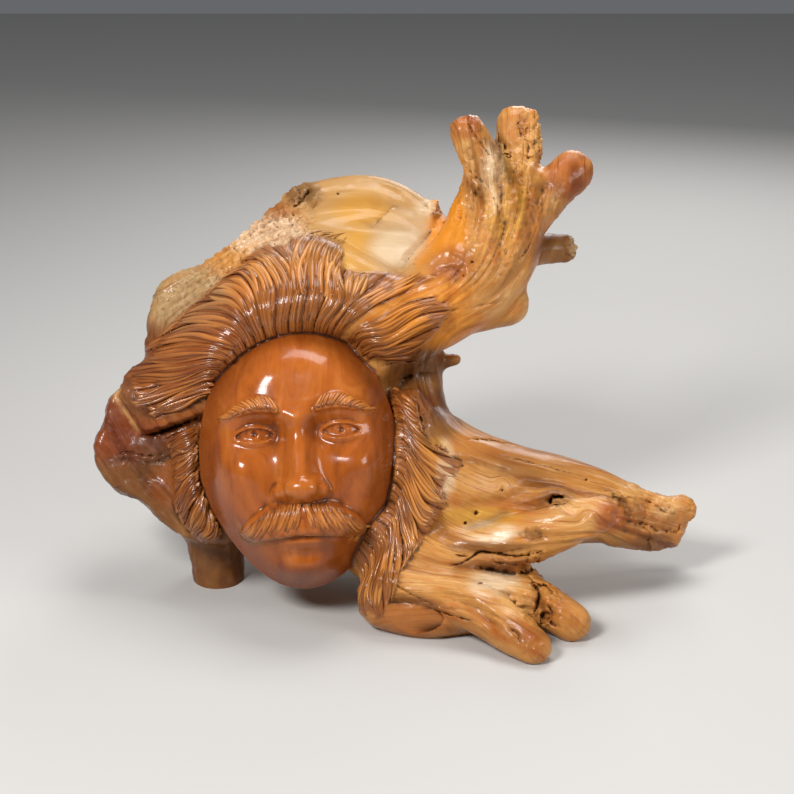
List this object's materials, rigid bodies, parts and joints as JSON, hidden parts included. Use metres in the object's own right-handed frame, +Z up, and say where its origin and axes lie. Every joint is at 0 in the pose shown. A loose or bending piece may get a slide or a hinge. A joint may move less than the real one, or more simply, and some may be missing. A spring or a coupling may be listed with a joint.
{
  "type": "driftwood face sculpture",
  "caption": "Root driftwood sculpture with a calm face, a moustache and windswept hair carved in its front, standing on its own sawn root ends.",
  "frame": {"origin": "on the floor, under the middle of the sole of the front base", "axes": "+X to the viewer's right along the long reaching root, +Y from the carved front to the back, +Z up"},
  "size_m": [0.7073, 0.4156, 0.5361],
  "materials": {
    "driftwood": "oiled root wood with a stained and varnished carved front"
  },
  "bodies": {
    "root": {"driftwood_carving": "driftwood"}
  },
  "joints": []
}
